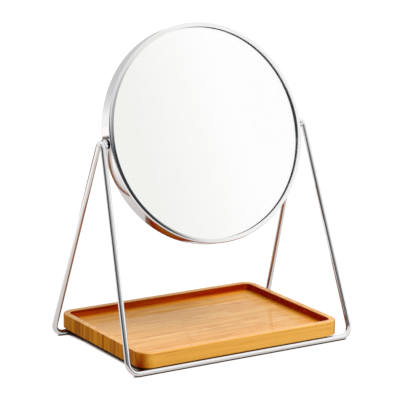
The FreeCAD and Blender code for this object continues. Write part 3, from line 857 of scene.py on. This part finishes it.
def tray_ring(inset, height):
    """The tray's plan at one height, a distance inside its edge."""
    radius = TRAY_CORNER - inset
    centre_x, centre_y = TRAY_WIDTH / 2 - TRAY_CORNER, TRAY_DEPTH / 2 - TRAY_CORNER
    points = []
    for quarter, (side_x, side_y) in enumerate(((1, 1), (-1, 1), (-1, -1), (1, -1))):
        for step in range(TRAY_CORNER_STEPS + 1):
            angle = math.radians(90 * (quarter + step / TRAY_CORNER_STEPS))
            points.append(Vector((
                side_x * centre_x + radius * math.cos(angle),
                TRAY_MIDDLE_Y + side_y * centre_y + radius * math.sin(angle),
                TRAY_BOTTOM_Z + height)) * MM)
    return points


# How dark the front left corner is made at each heading round it, in degrees.
CORNER_DARK_STOPS = ((-88, 0.0), (-78, 0.5), (-71, 1.0), (-56, 1.0), (-48, 0.75), (-38, 0.5),
              (-28, 0.36), (-12, 0.2), (0, 0.1))
DARKENED_QUARTER = 2
TOP_EDGE_DARK_SHARE = 0.35
FOOT_FADE = 0.85


def corner_dark_share(place, height):
    """How far the front left corner is darkened at one point of the tray's plan."""
    quarter, step = divmod(place, TRAY_CORNER_STEPS + 1)
    if quarter != DARKENED_QUARTER:
        return 0.0
    heading = 90 * step / TRAY_CORNER_STEPS - 90
    share = 0.0
    for (low, first), (high, second) in zip(CORNER_DARK_STOPS, CORNER_DARK_STOPS[1:]):
        if low <= heading <= high:
            share = first + (second - first) * (heading - low) / (high - low)
    return share * (TOP_EDGE_DARK_SHARE if height > TRAY_HEIGHT - 2 * TRAY_TOP_ROUND else 1.0)


def tray_section():
    """The tray's section from below, round its wall and onto its floor.

    Each point is an inset, a height, how much it takes the routed wall's painted shade, and how
    much the wall foot's painted light."""
    floor = TRAY_HEIGHT - TRAY_RECESS
    top, inner, foot = TRAY_TOP_ROUND, TRAY_INNER_ROUND, TRAY_FLOOR_ROUND
    plain = (arc((TRAY_BOTTOM_ROUND, TRAY_BOTTOM_ROUND), TRAY_BOTTOM_ROUND, 270, 180,
                 TRAY_EDGE_STEPS)
             + arc((top, TRAY_HEIGHT - top), top, 180, 90, TRAY_EDGE_STEPS)
             + arc((TRAY_WALL - inner, TRAY_HEIGHT - inner), inner, 90, 0,
                   TRAY_INNER_STEPS)[:-1])
    section = [(inset, height, 0.0, 0.0) for inset, height in plain]
    section.append((TRAY_WALL, TRAY_HEIGHT - inner, 1.0, 0.0))
    for step, (inset, height) in enumerate(
            arc((TRAY_WALL + foot, floor + foot), foot, 180, 270, TRAY_FOOT_STEPS)):
        share = step / TRAY_FOOT_STEPS
        section.append((inset, height, 1.0 - FOOT_FADE * share, 1.0))
    section.append((TRAY_WALL + foot + TRAY_FOOT_BAND, floor, 0.0, 0.0))
    return section


def tray():
    """The bamboo tray, lofted from its section, with its painted zones as attributes."""
    shape = bmesh.new()
    wall_shade_layer = shape.verts.layers.float.new("recess_wall_shade")
    foot_light_layer = shape.verts.layers.float.new("wall_foot_light")
    corner_dark_layer = shape.verts.layers.float.new("corner_dark")
    rings = []
    for inset, height, wall, foot in tray_section():
        ring = []
        for place, point in enumerate(tray_ring(min(inset, TRAY_CORNER - LEAST_CORNER), height)):
            vertex = shape.verts.new(point)
            vertex[wall_shade_layer] = wall
            vertex[foot_light_layer] = foot
            vertex[corner_dark_layer] = corner_dark_share(place, height) if inset < TRAY_WALL / 2 else 0.0
            ring.append(vertex)
        rings.append(ring)
    count = len(rings[0])
    for low, high in zip(rings, rings[1:]):
        for index in range(count):
            after = (index + 1) % count
            shape.faces.new((low[index], low[after], high[after], high[index]))
    shape.faces.new(rings[0][::-1])
    shape.faces.new(rings[-1])
    bmesh.ops.recalc_face_normals(shape, faces=shape.faces)
    mesh = bpy.data.meshes.new("tray")
    shape.to_mesh(mesh)
    shape.free()
    smooth(mesh, TRAY_SHARP_ANGLE)
    return even_normals(mesh)


# ---------------------------------------------------------------- the pieces on their bodies

def dress(mesh, finish):
    """Give a mesh one finish."""
    mesh.materials.clear()
    mesh.materials.append(FINISHES[finish])


def add_piece(name, mesh, finish, slot, body, *nodes):
    """A finished piece, riding on its body and standing for its CAD nodes."""
    dress(mesh, finish)
    piece = new_object(name, mesh)
    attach(piece, body)
    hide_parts(*nodes)


wire_mesh = stand_wire()
plain_pane, plain_silver = plain_mirror()
magnifying_pane, magnifying_silver = magnifying_mirror()

add_piece("pivot_bosses", pivot_bosses(wire_mesh), "chrome_rim", "chrome_wire", "stand",
          "pivot_boss_left", "pivot_boss_right")
add_piece("stand_wire", wire_mesh, "chrome_wire", "chrome_wire", "stand", "wire_frame")
add_piece("friction_washers", friction_washers(), "black_nylon", "black_nylon", "stand",
          "friction_washer_left", "friction_washer_right")
add_piece("rim_front", front_rim(), "chrome_rim", "chrome_rim", "mirror_head", "front_rim")
add_piece("rim_rear", rear_rim(), "chrome_rim", "chrome_rim", "mirror_head", "rear_rim")
add_piece("plain_pane", plain_pane, "clear_glass", "mirror_glass", "mirror_head", "plain_glass")
add_piece("plain_silver", plain_silver, "silvering", "mirror_glass", "mirror_head",
          "plain_glass")
add_piece("magnifying_pane", magnifying_pane, "clear_glass", "mirror_glass", "mirror_head",
          "magnifying_glass")
add_piece("magnifying_silver", magnifying_silver, "silvering", "mirror_glass", "mirror_head",
          "magnifying_glass")
add_piece("bamboo_tray", tray(), "bamboo", "bamboo", "tray_body", "tray")

# The hidden nodes stay as they are, with better materials.
HIDDEN_FINISHES = {"core_board": "board", "front_foam": "foam", "rear_foam": "foam"}
for side in ("left", "right"):
    HIDDEN_FINISHES[f"inner_washer_{side}"] = "black_nylon"
    HIDDEN_FINISHES[f"spring_washer_{side}"] = "spring_steel"
    HIDDEN_FINISHES[f"pivot_screw_{side}"] = "zinc_screw"
for node_name, finish in HIDDEN_FINISHES.items():
    dress(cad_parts[node_name].data, finish)


# ---------------------------------------------------------------- studio

WHITE = (1, 1, 1, 1)
WORLD_LIGHT = (0.42, 0.42, 0.42, 1)
LAMP_LIT_FLOOR = (0.86, 0.86, 0.86, 1)
SEEN_FLOOR = (0.095, 0.060, 0.043, 1)
SHADOW_GLOW = (0.62, 0.30, 0.15, 1)
FLOOR_REACH = 3.0

# How far each shade reaches, its samples, and the openness at which it starts and ends.
TRAY_SHADE = (0.03, 24, (0.17, 0.29))
BAR_SHADE = (0.003, 16, (0.32, 0.62))

# The floor as the bright metal sees it: dimmer near the object, a painted shade, and in a patch
# far behind it.
NEAR_FLOOR_SHADE, NEAR_FLOOR_LEVEL = (0.12, 0.55), 0.58
FAR_PATCH, FAR_PATCH_SHARE = (0.74, 0.80), 0.92
FAR_PATCH_FRONT, FAR_PATCH_LEFT, FAR_PATCH_RIGHT = (0.15, 0.30), (-0.80, -0.72), (0.26, 0.34)


def grey(level, cool=0.0):
    """A grey of one brightness, cooler by a share."""
    return (level, level * (1 + cool / 2), level * (1 + cool))


# What bright metal sees round it: bands by height, each with its greys by heading in degrees.
WARM_SCREEN = (0.90, 0.905, 0.875)
LOW_SCREENS = [
    (-180, grey(0.62)), (-167, grey(0.66)), (-160, grey(0.84)), (-157, grey(1.0)),
    (-140, grey(0.95)), (-127, grey(0.09, 0.3)), (-88, grey(0.08, 0.3)),
    (-60, grey(0.08, 0.2)), (-36, grey(0.11)), (-20, grey(0.28)), (-8, grey(0.30)),
    (2, grey(0.05, 0.3)), (25, grey(0.03, 0.4)), (28.6, WARM_SCREEN), (31.2, WARM_SCREEN),
    (33.2, grey(1.0)), (125, grey(1.0)), (152, grey(0.65)), (179, grey(0.62)),
]
MIDDLE_SCREENS = [
    (-180, grey(0.62)), (-150, grey(0.80)), (-127, grey(0.30)), (-90, grey(0.24)),
    (-52, grey(0.26)), (-30, grey(0.28)), (-14, grey(0.34)), (0, grey(0.48)),
    (8, grey(0.56)), (16, grey(0.50)), (25, grey(0.42)), (28.6, WARM_SCREEN),
    (31.2, WARM_SCREEN), (33.2, grey(1.0)), (125, grey(1.0)), (152, grey(0.70)),
    (179, grey(0.62)),
]
HIGH_SCREENS = [
    (-134, grey(1.0)), (-90, grey(0.62, 0.06)), (-30, grey(0.80)), (28.6, WARM_SCREEN),
    (31.2, WARM_SCREEN), (33.2, grey(1.0)),
]
LOW_TO_MIDDLE, MIDDLE_TO_HIGH = (17.6, 22.0), (21.5, 30.0)


def towards(heading, height):
    """The direction to a heading, from the front round to the right, and a height, in degrees."""
    heading, height = math.radians(heading), math.radians(height)
    return Vector((math.sin(heading) * math.cos(height), -math.cos(heading) * math.cos(height),
                   math.sin(height)))


def seen_rays(tree, path):
    """1 for camera, mirror and through-glass rays, 0 for those that only light things."""
    seen = maths(tree, "MAXIMUM", path["Is Camera Ray"], path["Is Glossy Ray"])
    return maths(tree, "MAXIMUM", seen, path["Is Transmission Ray"])


def heading_ramp(tree, turn, stops):
    """A colour for each heading, from a list of headings in degrees and their colours."""
    ramp = node(tree, "ShaderNodeValToRGB", {0: turn})
    elements = ramp.color_ramp.elements
    elements[0].position, elements[0].color = 0.0, (*stops[0][1], 1)
    elements[1].position, elements[1].color = 1.0, (*stops[-1][1], 1)
    for degrees, tint in stops:
        stop = elements.new((degrees + 180) / 360)
        stop.color = (*tint, 1)
    return ramp.outputs["Color"]


def studio_world():
    """White all round for the camera; bright metal also meets the dark room in front."""
    world = bpy.data.worlds.new("studio")
    bpy.context.scene.world = world
    world.use_nodes = True
    tree = world.node_tree
    direction = node(tree, "ShaderNodeSeparateXYZ", {
        0: node(tree, "ShaderNodeTexCoord").outputs["Generated"]}).outputs
    heading = maths(tree, "ARCTAN2", direction["X"],
                    maths(tree, "MULTIPLY", direction["Y"], -1.0))
    turn = maths(tree, "MULTIPLY_ADD", heading, 1 / (2 * math.pi), 0.5)
    height = maths(tree, "DEGREES", maths(tree, "ARCSINE", direction["Z"]))
    mirrored = heading_ramp(tree, turn, LOW_SCREENS)
    for change, screens in ((LOW_TO_MIDDLE, MIDDLE_SCREENS), (MIDDLE_TO_HIGH, HIGH_SCREENS)):
        mirrored = blend_colours(tree, ramp_between(tree, height, *change), mirrored,
                                 heading_ramp(tree, turn, screens))
    path = node(tree, "ShaderNodeLightPath").outputs
    mirrored = blend_colours(tree, path["Is Camera Ray"], mirrored, WHITE)
    join(tree, blend_colours(tree, seen_rays(tree, path), WORLD_LIGHT, mirrored),
         tree.nodes["Background"].inputs["Color"])


def floor_openness(tree, reach, samples, shade):
    """0 where something stands close over the floor, 1 where the floor is open."""
    openness = node(tree, "ShaderNodeAmbientOcclusion", {"Distance": reach}, samples=samples)
    return ramp_between(tree, openness.outputs["AO"], *shade)


def mirrored_floor_level(tree, position):
    """How bright the floor is where only bright metal sees it."""
    away = node(tree, "ShaderNodeVectorMath", {0: position}, operation="LENGTH").outputs["Value"]
    across, away_back, _ = node(tree, "ShaderNodeSeparateXYZ", {0: position}).outputs
    patch = ramp_between(tree, away, *FAR_PATCH, 0.0, FAR_PATCH_SHARE)
    for edge in (ramp_between(tree, away_back, *FAR_PATCH_FRONT),
                 ramp_between(tree, across, *FAR_PATCH_LEFT),
                 ramp_between(tree, across, *FAR_PATCH_RIGHT, 1.0, 0.0)):
        patch = maths(tree, "MULTIPLY", patch, edge)
    nearby = ramp_between(tree, away, *NEAR_FLOOR_SHADE, NEAR_FLOOR_LEVEL, 1.0)
    return maths(tree, "MULTIPLY", nearby, maths(tree, "SUBTRACT", 1.0, patch))


def studio_floor():
    """A pale floor that fades to white and stays dark where the tray and bars shade it."""
    material, tree, shader, coordinates = new_material("floor")
    path = node(tree, "ShaderNodeLightPath").outputs
    seen = seen_rays(tree, path)
    open_floor = floor_openness(tree, *TRAY_SHADE)
    clear_of_bars = floor_openness(tree, *BAR_SHADE)
    level = maths(tree, "MAXIMUM", mirrored_floor_level(tree, coordinates.outputs["Object"]),
                  path["Is Camera Ray"])
    glow = maths(tree, "MULTIPLY", maths(tree, "MINIMUM", open_floor, clear_of_bars), level)
    feed(tree, shader, {
        "Base Color": blend_colours(tree, seen, LAMP_LIT_FLOOR, SEEN_FLOOR),
        "Roughness": 0.9, "Specular IOR Level": 0.0,
        "Emission Strength": maths(tree, "MULTIPLY", glow, seen),
        "Emission Color": blend_colours(tree, open_floor, SHADOW_GLOW, WHITE)})
    mesh = bpy.data.meshes.new("floor")
    mesh.from_pydata([(-FLOOR_REACH, -FLOOR_REACH, 0), (FLOOR_REACH, -FLOOR_REACH, 0),
                      (FLOOR_REACH, FLOOR_REACH, 0), (-FLOOR_REACH, FLOOR_REACH, 0)],
                     [], [(0, 1, 2, 3)])
    mesh.materials.append(material)
    new_object("floor", mesh)


def sun(name, heading, height, strength, softness):
    """A broad soft light from a heading and a height, in degrees."""
    data = bpy.data.lights.new(name, "SUN")
    data.energy = strength * math.pi
    data.angle = math.radians(softness)
    lamp = new_object(name, data)
    lamp.location = towards(heading, height)
    lamp.rotation_euler = lamp.location.to_track_quat("Z", "Y").to_euler()
    lamp.visible_glossy = False
    lamp.visible_transmission = False
    lamp.visible_camera = False


studio_world()
studio_floor()
sun("key light", heading=30, height=45, strength=0.50, softness=40)
sun("top light", heading=-10, height=72, strength=0.40, softness=60)


# ---------------------------------------------------------------- camera

CAMERA_LENS = 186.30
CAMERA_SENSOR = 36
CAMERA_CLIP = (0.05, 20)
CAMERA_HEADING = -31.751
CAMERA_HEIGHT = 13.489
CAMERA_ROLL = 0.533
CAMERA_DISTANCE = 1.864257
CAMERA_TARGET = Vector((-0.001833, -0.002156, 0.128581))


def studio_camera():
    """A long lens from the front left, a little above the tray."""
    back = towards(CAMERA_HEADING, CAMERA_HEIGHT)
    right = (-back).cross(Vector((0, 0, 1))).normalized()
    upward = right.cross(-back)
    roll = math.radians(CAMERA_ROLL)
    rolled_right = right * math.cos(roll) + upward * math.sin(roll)
    rolled_up = upward * math.cos(roll) - right * math.sin(roll)
    data = bpy.data.cameras.new("camera")
    data.sensor_width = CAMERA_SENSOR
    data.lens = CAMERA_LENS
    data.clip_start, data.clip_end = CAMERA_CLIP
    camera = new_object("camera", data)
    turn = Matrix((rolled_right, rolled_up, back)).transposed().to_4x4()
    camera.matrix_world = Matrix.Translation(CAMERA_TARGET + back * CAMERA_DISTANCE) @ turn
    bpy.context.scene.camera = camera


studio_camera()
bpy.context.scene.view_settings.view_transform = "Standard"
